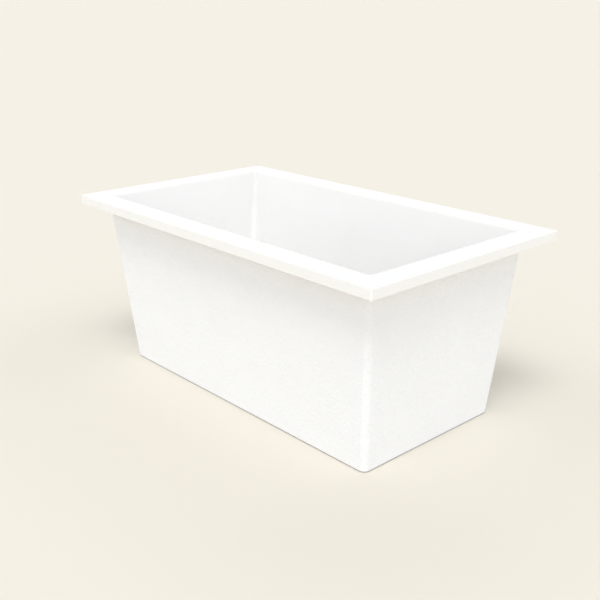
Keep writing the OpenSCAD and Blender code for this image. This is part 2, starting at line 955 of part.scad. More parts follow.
tub_shell();
skirt();
rim_battens();
base_boards();
frame_long_rails();
frame_cross_rails();
board_screws();
skirt_brackets();
bracket_screws();
foot_inserts();
foot_lock_nuts();
at_foot(-1, -1) foot_pad();  // foot_1_pad
at_foot(1, -1) foot_pad();  // foot_2_pad
at_foot(1, 1) foot_pad();  // foot_3_pad
at_foot(-1, 1) foot_pad();  // foot_4_pad
at_foot(-1, -1) foot_stud();  // foot_1_stud
at_foot(1, -1) foot_stud();  // foot_2_stud
at_foot(1, 1) foot_stud();  // foot_3_stud
at_foot(-1, 1) foot_stud();  // foot_4_stud
waste_flange();
waste_top_seal();
waste_lower_seal();
plug_cartridge();
plug_stem();
plug_cap();
plug_seal();
trap_head();
trap_ring_seal();
trap_cup();
outlet_seal();
outlet_nut();
outlet_elbow();
overflow_cover();
overflow_screw();
overflow_flange();
overflow_seal();
overflow_body();
overflow_hose();
hose_clips();
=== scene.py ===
"""Looks of the freestanding bathtub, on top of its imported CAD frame. Metres, +Z up, X = length."""

import json
import math

import bmesh
import bpy
from mathutils import Matrix, Vector


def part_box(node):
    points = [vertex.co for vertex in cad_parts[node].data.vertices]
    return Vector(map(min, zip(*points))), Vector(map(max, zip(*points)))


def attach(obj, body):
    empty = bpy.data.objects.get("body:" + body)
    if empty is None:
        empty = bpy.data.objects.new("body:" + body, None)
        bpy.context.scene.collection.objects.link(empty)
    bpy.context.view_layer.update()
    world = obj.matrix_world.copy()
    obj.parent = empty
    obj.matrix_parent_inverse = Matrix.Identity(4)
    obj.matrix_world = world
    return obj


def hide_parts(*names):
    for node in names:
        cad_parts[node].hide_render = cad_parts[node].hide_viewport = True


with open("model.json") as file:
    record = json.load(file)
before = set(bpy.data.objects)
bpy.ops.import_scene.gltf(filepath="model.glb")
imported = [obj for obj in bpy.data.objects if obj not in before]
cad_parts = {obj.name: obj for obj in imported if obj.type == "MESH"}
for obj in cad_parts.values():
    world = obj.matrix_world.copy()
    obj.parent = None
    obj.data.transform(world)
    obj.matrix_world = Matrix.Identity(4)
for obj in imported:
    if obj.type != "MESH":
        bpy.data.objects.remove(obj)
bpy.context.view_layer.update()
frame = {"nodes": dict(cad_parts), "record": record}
NODES = frame["nodes"]
MM = 0.001

# ------------------------------------------------------------------ driving sizes
# Outer places come from the frame; the rest are the tub's own dimensions, as in the CAD.

RIM_LOW, RIM_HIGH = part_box("tub_shell")
SKIRT_LOW, SKIRT_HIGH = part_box("skirt")
HALF_LENGTH = RIM_HIGH.x
HALF_WIDTH = RIM_HIGH.y
DECK_Z = RIM_HIGH.z
FLOOR_UNDERSIDE = RIM_LOW.z
SHELL = 6 * MM
LIP_HEIGHT = 34 * MM
LIP_HOLLOW_CORNER = 2 * MM
RIM_CORNER = 6 * MM
RIM_EDGE = 3 * MM
OPENING_EDGE = 9 * MM
WALL_INSET = 88 * MM
WALL_DRAFT = 95 * MM
TOP_CORNER = 6 * MM
FLOOR_CORNER = 70 * MM
FLOOR_FILLET = 45 * MM
SKIRT_WALL = 4 * MM
SKIRT_CORNER = 22 * MM
SKIRT_TAPER = 53 * MM
WASTE_HOLE = 26.2 * MM
WASTE_RECESS = 37 * MM
RECESS_DEPTH = 2 * MM
OVERFLOW_HOLE = 24 * MM

BASIN_FLOOR = FLOOR_UNDERSIDE + SHELL
FILLET_CENTRE_Z = BASIN_FLOOR + FLOOR_FILLET
WALL_TOP = DECK_Z - OPENING_EDGE
WALL_DEPTH = WALL_TOP - BASIN_FLOOR
DRAFT = math.atan(WALL_DRAFT / WALL_DEPTH)
RIM_UNDERSIDE = DECK_Z - LIP_HEIGHT
OPENING_INSET = WALL_INSET - OPENING_EDGE / math.cos(DRAFT)

# Quads round a moulding's ring: in each corner, along a long side, along a short side
CORNER_STEPS = 12
LONG_STEPS = 24
SHORT_STEPS = 14


# ------------------------------------------------------------------ mesh helpers


def mesh_object(name, bm, sharp_degrees=40):
    """A new smooth-shaded object from a bmesh, with its faces turned outwards."""
    bmesh.ops.recalc_face_normals(bm, faces=bm.faces)
    mesh = bpy.data.meshes.new(name)
    bm.to_mesh(mesh)
    bm.free()
    mesh.shade_smooth()
    mesh.set_sharp_from_angle(angle=math.radians(sharp_degrees))
    piece = bpy.data.objects.new(name, mesh)
    bpy.context.scene.collection.objects.link(piece)
    weighted = piece.modifiers.new("flat faces stay flat", "WEIGHTED_NORMAL")
    weighted.keep_sharp = True
    return piece


def rounded_ring(half_x, half_y, radius, z):
    """Points round a rectangle with rounded corners, always the same number of them."""
    points = []
    corners = [(1, 1, 0), (-1, 1, 90), (-1, -1, 180), (1, -1, 270)]
    for index, (side_x, side_y, start) in enumerate(corners):
        centre = Vector((side_x * (half_x - radius), side_y * (half_y - radius), z))
        arc = []
        for step in range(CORNER_STEPS + 1):
            angle = math.radians(start + 90 * step / CORNER_STEPS)
            arc.append(centre + radius * Vector((math.cos(angle), math.sin(angle), 0)))
        points += arc
        next_x, next_y, next_start = corners[(index + 1) % 4]
        angle = math.radians(next_start)
        next_centre = Vector((next_x * (half_x - radius), next_y * (half_y - radius), z))
        goal = next_centre + radius * Vector((math.cos(angle), math.sin(angle), 0))
        steps = LONG_STEPS if next_y == side_y else SHORT_STEPS
        points += [arc[-1].lerp(goal, step / steps) for step in range(1, steps)]
    return points


def circle_like(ring, radius, z):
    """A circle whose points lie in the same directions as a ring's points."""
    points = []
    for point in ring:
        flat = Vector((point.x, point.y, 0)).normalized() * radius
        points.append(Vector((flat.x, flat.y, z)))
    return points


def loft(bm, rings, closed_rows):
    """Quads between rings of equal length. closed_rows joins the last ring to the first."""
    rows = [[bm.verts.new(point) for point in ring] for ring in rings]
    pairs = list(zip(rows, rows[1:]))
    if closed_rows:
        pairs.append((rows[-1], rows[0]))
    for low, high in pairs:
        for index in range(len(low)):
            after = (index + 1) % len(low)
            bm.faces.new((low[index], low[after], high[after], high[index]))
    return rows


def spin(bm, outline, place=Matrix(), segments=48):
    """Turns an outline of (radius, height) points, in mm, round Z, and places it.

    A radius may be a function of the angle and the height. An outline with both ends on the
    axis is a solid; any other is a ring.
    """
    solid = outline[0][0] == 0 and outline[-1][0] == 0
    rings = []
    for radius, height in outline[1:-1] if solid else outline:
        ring = []
        for step in range(segments):
            angle = 2 * math.pi * step / segments
            reach = radius(angle, height) if callable(radius) else radius
            point = Vector((reach * math.cos(angle), reach * math.sin(angle), height))
            ring.append(place @ (point * MM))
        rings.append(ring)
    rows = loft(bm, rings, closed_rows=not solid)
    if solid:
        for row, (_, height) in ((rows[0], outline[0]), (rows[-1], outline[-1])):
            tip = bm.verts.new(place @ Vector((0, 0, height * MM)))
            for index in range(segments):
                bm.faces.new((row[index], row[(index + 1) % segments], tip))


def sweep(bm, stations, inner, segments=32):
    """A pipe in the plane x = 0. A station is (y, z, direction, outer radius), in mm."""
    outside = []
    inside = []
    for y, z, direction, outer in stations:
        centre = Vector((0, y, z))
        side = Vector((0, -math.sin(direction), math.cos(direction)))
        for rings, radius in ((outside, outer), (inside, inner)):
            ring = []
            for step in range(segments):
                angle = 2 * math.pi * step / segments
                out = Vector((math.cos(angle), 0, 0)) + side * math.sin(angle)
                ring.append((centre + out * radius) * MM)
            rings.append(ring)
    loft(bm, outside + inside[::-1], closed_rows=True)


def block(bm, low, high, place, edge):
    """A block with softened edges between two corners, in mm."""
    made = bmesh.ops.create_cube(bm, size=1)["verts"]
    low, high = Vector(low), Vector(high)
    for vert in made:
        for axis in range(3):
            vert.co[axis] = high[axis] if vert.co[axis] > 0 else low[axis]
    edges = list(dict.fromkeys(item for vert in made for item in vert.link_edges))
    made = bmesh.ops.bevel(bm, geom=edges, offset=edge, segments=2, profile=0.5,
                           affect="EDGES")["verts"]
    for vert in made:
        vert.co = place @ (vert.co * MM)


def hexagon(across, *ends):
    """Radius of a hexagon by angle, cut off by shallow cones at its ends, if it has any."""
    cone_start = across / 2 - 0.1
    cone_slope = 0.6

    def radius(angle, height):
        corner = across / 2 / math.cos(angle % (math.pi / 3) - math.pi / 6)
        cones = [cone_start + abs(height - end) / cone_slope for end in ends]
        return min([corner, *cones])
    return radius


def lobed(base, lobe, count, sharpness=1.0, turn=0.0):
    """Radius with a number of rounded lobes standing on it. Sharper lobes are narrower."""
    def radius(angle, _height):
        wave = 0.5 + 0.5 * math.cos(count * (angle - turn))
        return base + lobe * wave ** sharpness
    return radius


def thread(root, crest, pitch):
    """Radius of a screw thread by angle and height: a flat root and crest, steep flanks."""
    flank_slope = 2.4
    flat_root = 0.1

    def radius(angle, height):
        part = (height / pitch - angle / (2 * math.pi)) % 1
        rise = flank_slope * abs(part - 0.5) - flat_root
        return root + (crest - root) * min(1, max(0, rise))
    return radius


def threaded(root, crest, pitch, start, end, rows_per_turn=7):
    """Rows of a threaded length from one height to another."""
    rows = max(2, int(abs(end - start) / pitch * rows_per_turn))
    shape = thread(root, crest, pitch)
    return [(shape, start + (end - start) * row / rows) for row in range(rows + 1)]


def cut(piece, cutter):
    """Takes a cutter out of a piece for good."""
    boolean = piece.modifiers.new("cut", "BOOLEAN")
    boolean.operation = "DIFFERENCE"
    boolean.solver = "EXACT"
    boolean.object = cutter
    piece.modifiers.move(len(piece.modifiers) - 1, 0)
    bpy.context.view_layer.objects.active = piece
    with bpy.context.temp_override(object=piece, active_object=piece):
        bpy.ops.object.modifier_apply(modifier=boolean.name)
    bpy.data.objects.remove(cutter)


# ------------------------------------------------------------------ materials


class Finish:
    """One procedural material: a Principled shader with textures in the object's own space."""

    def __init__(self, name, colour, roughness, metallic=0.0, **sockets):
        self.material = bpy.data.materials.new(name)
        self.material.use_nodes = True
        self.tree = self.material.node_tree
        self.shader = self.tree.nodes["Principled BSDF"]
        self.coords = self.tree.nodes.new("ShaderNodeTexCoord").outputs["Object"]
        self.shader.inputs["Base Color"].default_value = (*colour, 1)
        self.shader.inputs["Roughness"].default_value = roughness
        self.shader.inputs["Metallic"].default_value = metallic
        for socket, value in sockets.items():
            self.shader.inputs[socket.replace("_", " ")].default_value = value
        self.bump_normal = None

    def link(self, output, socket):
        self.tree.links.new(output, socket)

    def stretched(self, scale):
        """Object coordinates scaled by a different amount along each axis."""
        mapping = self.tree.nodes.new("ShaderNodeMapping")
        mapping.inputs["Scale"].default_value = scale
        self.link(self.coords, mapping.inputs["Vector"])
        return mapping.outputs["Vector"]

    def noise(self, scale, detail, roughness=0.5, coords=None):
        node = self.tree.nodes.new("ShaderNodeTexNoise")
        node.inputs["Scale"].default_value = scale
        node.inputs["Detail"].default_value = detail
        node.inputs["Roughness"].default_value = roughness
        self.link(coords or self.coords, node.inputs["Vector"])
        return node.outputs["Fac"]

    def cells(self, scale, smoothness, coords=None):
        node = self.tree.nodes.new("ShaderNodeTexVoronoi")
        node.feature = "SMOOTH_F1"
        node.inputs["Scale"].default_value = scale
        node.inputs["Smoothness"].default_value = smoothness
        self.link(coords or self.coords, node.inputs["Vector"])
        return node.outputs["Distance"]

    def ranged(self, value, low, high, from_low=0.3, from_high=0.7):
        """value, stretched to run from low to high."""
        node = self.tree.nodes.new("ShaderNodeMapRange")
        node.inputs["From Min"].default_value = from_low
        node.inputs["From Max"].default_value = from_high
        node.inputs["To Min"].default_value = low
        node.inputs["To Max"].default_value = high
        self.link(value, node.inputs["Value"])
        return node.outputs["Result"]

    def roughness_from(self, value, low, high):
        self.link(self.ranged(value, low, high), self.shader.inputs["Roughness"])

    def colour_from(self, value, first, second, from_low=0.3, from_high=0.7):
        """Base colour, between two colours by a texture's value."""
        ramp = self.tree.nodes.new("ShaderNodeValToRGB")
        ramp.color_ramp.elements[0].position = from_low
        ramp.color_ramp.elements[0].color = (*first, 1)
        ramp.color_ramp.elements[1].position = from_high
        ramp.color_ramp.elements[1].color = (*second, 1)
        self.link(value, ramp.inputs["Fac"])
        self.link(ramp.outputs["Color"], self.shader.inputs["Base Color"])

    def bump(self, value, distance):
        """Adds relief of that height, in metres, on top of any relief already there."""
        node = self.tree.nodes.new("ShaderNodeBump")
        node.inputs["Distance"].default_value = distance
        self.link(value, node.inputs["Height"])
        if self.bump_normal:
            self.link(self.bump_normal, node.inputs["Normal"])
        self.bump_normal = node.outputs["Normal"]
        self.link(self.bump_normal, self.shader.inputs["Normal"])


def acrylic_gloss():
    finish = Finish("acrylic_gloss", (0.865, 0.865, 0.863), 0.1, IOR=1.49, Coat_Weight=0.6,
                    Coat_Roughness=0.12)
    finish.colour_from(finish.noise(9, 3), (0.86, 0.86, 0.858), (0.87, 0.87, 0.868))
    finish.roughness_from(finish.noise(60, 6), 0.07, 0.13)
    finish.bump(finish.noise(14, 2), 0.25 * MM)
    return finish.material


def skirt_texture():
    finish = Finish("skirt_texture", (0.905, 0.922, 0.95), 0.5, IOR=1.49,
                    Specular_IOR_Level=0.4)
    finish.colour_from(finish.noise(7, 3), (0.897, 0.914, 0.942), (0.913, 0.93, 0.958))
    finish.roughness_from(finish.noise(170, 3), 0.45, 0.6)
    finish.bump(finish.noise(105, 3, 0.55), 2.4 * MM)
    finish.bump(finish.noise(420, 4, 0.6), 0.12 * MM)
    return finish.material


def fibreglass_back():
    """Rolled glass mat under clear resin, as on the hidden side of a moulding."""
    finish = Finish("fibreglass_back", (0.74, 0.73, 0.66), 0.45)
    one_way = finish.noise(60, 6, 0.6, finish.stretched((1, 9, 4)))
    other_way = finish.noise(60, 6, 0.6, finish.stretched((9, 1, 4)))
    finish.colour_from(one_way, (0.66, 0.65, 0.58), (0.8, 0.79, 0.73))
    finish.roughness_from(other_way, 0.35, 0.6)
    finish.bump(one_way, 0.5 * MM)
    finish.bump(other_way, 0.5 * MM)
    return finish.material


def plywood():
    finish = Finish("plywood", (0.62, 0.47, 0.30), 0.6)
    grain = finish.noise(40, 8, 0.6, finish.stretched((0.6, 6, 30)))
    finish.colour_from(grain, (0.48, 0.34, 0.2), (0.72, 0.57, 0.38))
    finish.roughness_from(finish.noise(90, 4), 0.5, 0.75)
    finish.bump(grain, 0.3 * MM)
    return finish.material


def chipboard():
    finish = Finish("chipboard", (0.55, 0.43, 0.27), 0.55)
    flakes = finish.cells(160, 0.1, finish.stretched((0.6, 1.4, 1)))
    finish.colour_from(flakes, (0.40, 0.29, 0.17), (0.70, 0.57, 0.38), 0.1, 0.6)
    finish.roughness_from(finish.noise(120, 5), 0.35, 0.65)
    finish.bump(flakes, 0.4 * MM)
    return finish.material


def powder_coat():
    finish = Finish("powder_coat", (0.025, 0.026, 0.028), 0.45, Coat_Weight=0.1)
    finish.colour_from(finish.noise(30, 5), (0.02, 0.021, 0.023), (0.035, 0.036, 0.038))
    finish.roughness_from(finish.noise(500, 3), 0.38, 0.55)
    finish.bump(finish.noise(900, 3), 0.08 * MM)
    return finish.material


def zinc_plate():
    finish = Finish("zinc_plate", (0.62, 0.63, 0.65), 0.3, metallic=1.0)
    finish.colour_from(finish.noise(80, 5), (0.55, 0.56, 0.58), (0.68, 0.69, 0.70))
    finish.roughness_from(finish.noise(250, 5), 0.22, 0.42)
    finish.bump(finish.noise(600, 4), 0.03 * MM)
    return finish.material


def galvanised_sheet():
    finish = Finish("galvanised_sheet", (0.60, 0.61, 0.62), 0.4, metallic=1.0)
    finish.colour_from(finish.cells(60, 0.05), (0.50, 0.51, 0.53), (0.68, 0.69, 0.70), 0.1, 0.7)
    finish.roughness_from(finish.noise(90, 4), 0.3, 0.55)
    finish.bump(finish.noise(300, 4), 0.04 * MM)
    return finish.material


def polished_chrome():
    finish = Finish("polished_chrome", (0.82, 0.83, 0.84), 0.06, metallic=1.0)
    finish.colour_from(finish.noise(40, 3), (0.80, 0.81, 0.82), (0.85, 0.86, 0.87))
    finish.roughness_from(finish.noise(160, 6), 0.04, 0.1)
    finish.bump(finish.noise(50, 2), 0.02 * MM)
    return finish.material


def turned_brass():
    finish = Finish("turned_brass", (0.72, 0.54, 0.26), 0.28, metallic=1.0)
    finish.colour_from(finish.noise(70, 5), (0.62, 0.45, 0.2), (0.8, 0.62, 0.32))
    finish.roughness_from(finish.noise(400, 3, 0.5, finish.stretched((1, 1, 12))), 0.2, 0.4)
    finish.bump(finish.noise(200, 2, 0.5, finish.stretched((0.1, 0.1, 12))), 0.03 * MM)
    return finish.material


def black_rubber():
    finish = Finish("black_rubber", (0.018, 0.018, 0.018), 0.7)
    finish.colour_from(finish.noise(60, 5), (0.014, 0.014, 0.014), (0.03, 0.03, 0.03))
    finish.roughness_from(finish.noise(300, 4), 0.6, 0.85)
    finish.bump(finish.noise(700, 4), 0.05 * MM)
    return finish.material


def pipe_plastic():
    finish = Finish("pipe_plastic", (0.82, 0.82, 0.80), 0.35, IOR=1.5)
    finish.colour_from(finish.noise(25, 4), (0.80, 0.80, 0.775), (0.85, 0.85, 0.83))
    finish.roughness_from(finish.noise(200, 5), 0.28, 0.45)
    finish.bump(finish.noise(350, 4), 0.05 * MM)
    return finish.material


def hose_plastic():
    finish = Finish("hose_plastic", (0.45, 0.46, 0.47), 0.4, IOR=1.5)
    finish.colour_from(finish.noise(30, 4), (0.40, 0.41, 0.42), (0.52, 0.53, 0.54))
    finish.roughness_from(finish.noise(260, 4), 0.32, 0.5)
    finish.bump(finish.noise(500, 3), 0.05 * MM)
    return finish.material


def pad_plastic():
    finish = Finish("pad_plastic", (0.03, 0.03, 0.032), 0.5)
    finish.colour_from(finish.noise(50, 4), (0.024, 0.024, 0.026), (0.045, 0.045, 0.047))
    finish.roughness_from(finish.noise(300, 5), 0.42, 0.62)
    finish.bump(finish.cells(700, 0.4), 0.06 * MM)
    return finish.material


FINISHES = {
    "basin_gloss": acrylic_gloss(),
    "skirt_satin": skirt_texture(),
    "plywood": plywood(),
    "chipboard": chipboard(),
    "frame_paint": powder_coat(),
    "zinc": zinc_plate(),
    "zinc_sheet": galvanised_sheet(),
    "chrome_trim": polished_chrome(),
    "brass_plain": turned_brass(),
    "seal_rubber": black_rubber(),
    "pipe_white": pipe_plastic(),
    "hose_grey": hose_plastic(),
    "pad_plastic": pad_plastic(),
    "fibreglass_back": fibreglass_back(),
}


def dress(piece, slot):
    """Gives a piece the finish of one of the record's material slots."""
    piece.data.materials.clear()
    piece.data.materials.append(FINISHES[slot])


def back_finish(piece, is_back):
    """Gives the faces that pass a test the bare resin finish of the moulding's back."""
    piece.data.materials.append(FINISHES["fibreglass_back"])
    for face in piece.data.polygons:
        face.material_index = int(is_back(face))


def outward(face):
    """How far a face looks away from the tub's middle."""
    return face.normal.x * face.center.x + face.normal.y * face.center.y


def finished(piece, slot, body, *nodes):
    """Dresses a new piece, sets it to ride on a body, and lets it stand for CAD nodes."""
    dress(piece, slot)
    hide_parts(*nodes)
    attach(piece, body)
    return piece


# Every CAD node gets its slot's finish; pieces made below replace some of them.
for part in frame["record"]["subparts"]:
    dress(NODES[part["node"]], part["material_slot"])


# ------------------------------------------------------------------ tub shell


def wall_half(half, z):
    """Half size of the basin's inside at a height, from its half size at the wall's top."""
    return half - (WALL_TOP - z) * math.tan(DRAFT)


def wall_corner(z):
    """Corner radius of the basin's inside at a height."""
    return TOP_CORNER + (FLOOR_CORNER - TOP_CORNER) * (WALL_TOP - z) / WALL_DEPTH


def basin_ring(z, grow, inset=0.0):
    """Ring on the basin's wall at a height, grown by a wall thickness or moved inwards."""
    return rounded_ring(
        wall_half(HALF_LENGTH - WALL_INSET, z) + grow - inset,
        wall_half(HALF_WIDTH - WALL_INSET, z) + grow - inset,
        wall_corner(z) + grow - inset,
        z,
    )


def basin_wall_rings(grow, top, steps):
    """Rings from the wall's top down to where the floor's rounding starts."""
    bottom = FILLET_CENTRE_Z - (FLOOR_FILLET + grow) * math.sin(DRAFT)
    return [basin_ring(top + (bottom - top) * step / steps, grow) for step in range(steps + 1)]


def fillet_rings(grow):
    """Rings round the floor's rounding, from the wall down to the floor."""
    radius = FLOOR_FILLET + grow
    steps = 10
    rings = []
    for step in range(1, steps + 1):
        turn = DRAFT + (math.pi / 2 - DRAFT) * step / steps
        z = FILLET_CENTRE_Z - radius * math.sin(turn)
        half = wall_half(0, FILLET_CENTRE_Z) - radius / math.cos(DRAFT) + radius * math.cos(turn)
        inset = wall_half(0, z) - half
        rings.append(basin_ring(z, grow, inset))
    return rings


def opening_edge_rings():
    """Rings round the opening's rounded edge, from the deck to the wall."""
    steps = 8
    rings = []
    for step in range(steps + 1):
        turn = (math.pi / 2 - DRAFT) * step / steps
        inset = OPENING_INSET + OPENING_EDGE * math.sin(turn)
        z = WALL_TOP + OPENING_EDGE * math.cos(turn)
        rings.append(rounded_ring(
            HALF_LENGTH - inset, HALF_WIDTH - inset, TOP_CORNER + WALL_INSET - inset, z))
    return rings


def outer_rim_rings():
    """Rings from the lip's hollow, under the lip, up its face and over to the deck."""
    edge = 1 * MM
    steps = 6
    rows = [
        (SHELL, LIP_HOLLOW_CORNER, RIM_UNDERSIDE + edge),
        (SHELL - edge / 2, 2.5 * MM, RIM_UNDERSIDE + edge / 4),
        (SHELL - edge, 3 * MM, RIM_UNDERSIDE),
        (edge, RIM_CORNER - edge, RIM_UNDERSIDE),
        (0.3 * edge, RIM_CORNER - 0.3 * edge, RIM_UNDERSIDE + 0.3 * edge),
        (0, RIM_CORNER, RIM_UNDERSIDE + edge),
    ]
    for step in range(steps + 1):
        turn = math.pi / 2 * step / steps
        inset = RIM_EDGE * (1 - math.cos(turn))
        rows.append((inset, RIM_CORNER - inset, DECK_Z - RIM_EDGE * (1 - math.sin(turn))))
    rings = []
    for inset, corner, z in rows:
        rings.append(rounded_ring(HALF_LENGTH - inset, HALF_WIDTH - inset, corner, z))
    return rings


def deck_rings():
    """Rings across the flat deck, between its two rounded edges."""
    steps = 4
    rings = []
    for step in range(1, steps):
        part = step / steps
        inset = RIM_EDGE + (OPENING_INSET - RIM_EDGE) * part
        corner = RIM_EDGE + (TOP_CORNER + OPENING_EDGE - RIM_EDGE) * part
        rings.append(rounded_ring(HALF_LENGTH - inset, HALF_WIDTH - inset, corner, DECK_Z))
    return rings


def floor_rings(edge_ring, z, hole):
    """Rings across a flat floor, from its edge in to a round hole, closer together there."""
    circle = circle_like(edge_ring, hole, z)
    steps = 12
    crowding = 0.8
    rings = []
    for step in range(1, steps):
        part = (step / steps) ** crowding
        rings.append([a.lerp(b, part) for a, b in zip(edge_ring, circle)])
    return rings


def tub_shell():
    """One closed skin: rim, deck, basin inside and out, and the hollow under the rim."""
    inside = fillet_rings(0.0)
    outside = fillet_rings(SHELL)
    floor_edge = inside[-1]
    under_edge = outside[-1]
    lip_inside = rounded_ring(HALF_LENGTH - SHELL, HALF_WIDTH - SHELL, LIP_HOLLOW_CORNER,
                              DECK_Z - SHELL)
    recess_edge = WASTE_RECESS + 1.2 * MM
    seal_seat = WASTE_HOLE + 12 * MM
    below_edge = WALL_TOP - 8 * MM
    recess_rows = [
        (recess_edge, 0),
        (WASTE_RECESS + 0.4 * MM, 0.2 * MM),
        (WASTE_RECESS, 0.8 * MM),
        (WASTE_RECESS - 0.1 * MM, RECESS_DEPTH),
        (WASTE_HOLE, RECESS_DEPTH),
        (WASTE_HOLE, SHELL),
        (seal_seat, SHELL),
    ]
    rings = outer_rim_rings() + deck_rings() + opening_edge_rings()
    rings += basin_wall_rings(0.0, below_edge, steps=26) + inside
    rings += floor_rings(floor_edge, BASIN_FLOOR, recess_edge)
    for radius, depth in recess_rows:
        rings.append(circle_like(floor_edge, radius, BASIN_FLOOR - depth))
    rings += reversed(floor_rings(under_edge, FLOOR_UNDERSIDE, seal_seat))
    rings += reversed(outside)
    rings += reversed(basin_wall_rings(SHELL, DECK_Z - SHELL, steps=12))
    rings.append(lip_inside)
    bm = bmesh.new()
    loft(bm, rings, closed_rows=True)
    piece = mesh_object("tub_shell_moulding", bm)
    cut(piece, overflow_cutter())
    finished(piece, "basin_gloss", "tub", "tub_shell")
    back_finish(piece, lambda face: abs(face.center.x) < HALF_LENGTH - 2 * SHELL
                and abs(face.center.y) < HALF_WIDTH - 2 * SHELL
                and (face.normal.z < -0.3 or outward(face) > 0))


# Place on the inside of the front wall at the overflow: Z points into the basin
OVERFLOW_Z = 535 * MM
OVERFLOW_PLACE = (
    Matrix.Translation((0, -wall_half(HALF_WIDTH - WALL_INSET, OVERFLOW_Z), OVERFLOW_Z))
    @ Matrix.Rotation(DRAFT - math.pi / 2, 4, "X")
)


def overflow_cutter():
    """A rod as wide as the overflow's hole, across the wall there."""
    bm = bmesh.new()
    bmesh.ops.create_cone(bm, cap_ends=True, segments=64, radius1=OVERFLOW_HOLE,
                          radius2=OVERFLOW_HOLE, depth=40 * MM)
    bmesh.ops.transform(bm, matrix=OVERFLOW_PLACE, verts=bm.verts)
    return mesh_object("overflow_cutter", bm)


tub_shell()


# ------------------------------------------------------------------ skirt


def skirt():
    """One seamless tapered wall with a softly rounded lower edge."""
    top = SKIRT_HIGH.z
    low = SKIRT_LOW.z
    slope = SKIRT_TAPER / (RIM_UNDERSIDE - low)
    edge = 1.6 * MM
    inner_edge = 0.4 * MM
    edge_steps = 5
    outer_steps = 16
    inner_steps = 8

    def ring(z, shrink):
        inset = (top - z) * slope + shrink
        return rounded_ring(SKIRT_HIGH.x - inset, SKIRT_HIGH.y - inset, SKIRT_CORNER - shrink, z)

    rings = []
    for step in range(edge_steps, -1, -1):
        turn = math.pi / 2 * step / edge_steps
        rings.append(ring(low + edge * (1 - math.sin(turn)), edge * (1 - math.cos(turn))))
    for step in range(1, outer_steps + 1):
        rings.append(ring(low + edge + (top - low - edge) * step / outer_steps, 0))
    rings.append(ring(top, SKIRT_WALL))
    for step in range(1, inner_steps + 1):
        rings.append(ring(top + (low + inner_edge - top) * step / inner_steps, SKIRT_WALL))
    rings.append(ring(low, SKIRT_WALL - inner_edge))
    rings.reverse()
    bm = bmesh.new()
    loft(bm, rings, closed_rows=True)
    piece = finished(mesh_object("skirt_moulding", bm), "skirt_satin", "tub", "skirt")
    back_finish(piece, lambda face: outward(face) < 0)


skirt()


# ------------------------------------------------------------------ support frame and feet

FEET = {number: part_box(f"foot_{number}_stud") for number in range(1, 5)}

# In mm, as the outlines are: where rails, screws and brackets lie, and sizes of fixings
RAIL_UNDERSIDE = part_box("frame_long_rails")[0].z / MM
CROSS_RAIL_X = (-410, -115, 115, 410)
BRACKET_X = (-470, -300, 300, 470)
BOARD_SCREW_Y = 120
LONG_RAIL_Y = 222
FOOT_PITCH = 1.75
FOOT_ROOT, FOOT_CREST = 5.1, 5.98
FOOT_HOLE = 6.08
INSERT_RIM = 1.5
SCREW_HEAD = 3


def soften(node, width):
    """Rounds a CAD node's sharp edges by a width in mm, without touching its mesh."""
    # The CAD faces share no vertices, so the bevel needs them joined first.
    weld = NODES[node].modifiers.new("joined faces", "WELD")
    weld.merge_threshold = 0.01 * MM
    bevel = NODES[node].modifiers.new("softened edges", "BEVEL")
    bevel.width = width * MM
    bevel.segments = 2
    bevel.limit_method = "ANGLE"
    bevel.angle_limit = math.radians(60)
    NODES[node].modifiers.new("flat faces stay flat", "WEIGHTED_NORMAL")


def foot_place(number):
    """On the floor, in line with a foot's stud."""
    low, high = FEET[number]
    return Matrix.Translation(((low.x + high.x) / 2, (low.y + high.y) / 2, 0))


def foot_stud(number):
    """M12 stud with a rolled thread, a spanner hexagon and chamfered ends."""
    low, high = (corner.z / MM for corner in FEET[number])
    hex_low, hex_high = 16, 24
    flats = hexagon(17, hex_low, hex_high)
    bm = bmesh.new()
    spin(bm, [
        (0, low), (4.6, low), (5.9, low + 1.2), (5.9, hex_low - 1.4), (7.6, hex_low),
        (flats, hex_low), (flats, hex_low + 0.6), (flats, hex_low + 1.4),
        (flats, hex_high - 1.4), (flats, hex_high - 0.6), (flats, hex_high),
        (7.6, hex_high), (FOOT_ROOT, hex_high + 1.2),
        *threaded(FOOT_ROOT, FOOT_CREST, FOOT_PITCH, hex_high + 2, high - 1.6),
        (5.0, high - 1.2), (4.2, high), (0, high),
    ], foot_place(number))
    piece = mesh_object(f"foot_{number}_stud_threaded", bm, 50)
    finished(piece, "zinc", f"foot_{number}_stud", f"foot_{number}_stud")


def foot_pad(number):
    """Moulded pad with a ribbed collar, a rounded rim and grip grooves in its sole."""
    sole = [(0, 0)]
    for groove in (7, 13, 19, 25):
        sole += [(groove, 0), (groove + 0.4, 0.7), (groove + 1.4, 0.7), (groove + 1.8, 0)]
    bm = bmesh.new()
    spin(bm, sole + [
        (28.6, 0), (29.5, 0.4), (29.95, 1.4), (29.95, 4.6), (29.5, 6), (28.2, 7.1), (26, 7.8),
        (lobed(15.4, 1.6, 12, 3), 8), (lobed(14, 1.2, 12, 3), 8.6),
        (lobed(13.6, 0.4, 12, 3), 12.6), (13.2, 13.6), (12.4, 14), (7.4, 14), (6.2, 13.2),
        (FOOT_HOLE, 12.6), (FOOT_HOLE, 4), (0, 4),
    ], foot_place(number), segments=96)
    piece = mesh_object(f"foot_{number}_pad_moulded", bm)
    finished(piece, "pad_plastic", f"foot_{number}_pad", f"foot_{number}_pad")


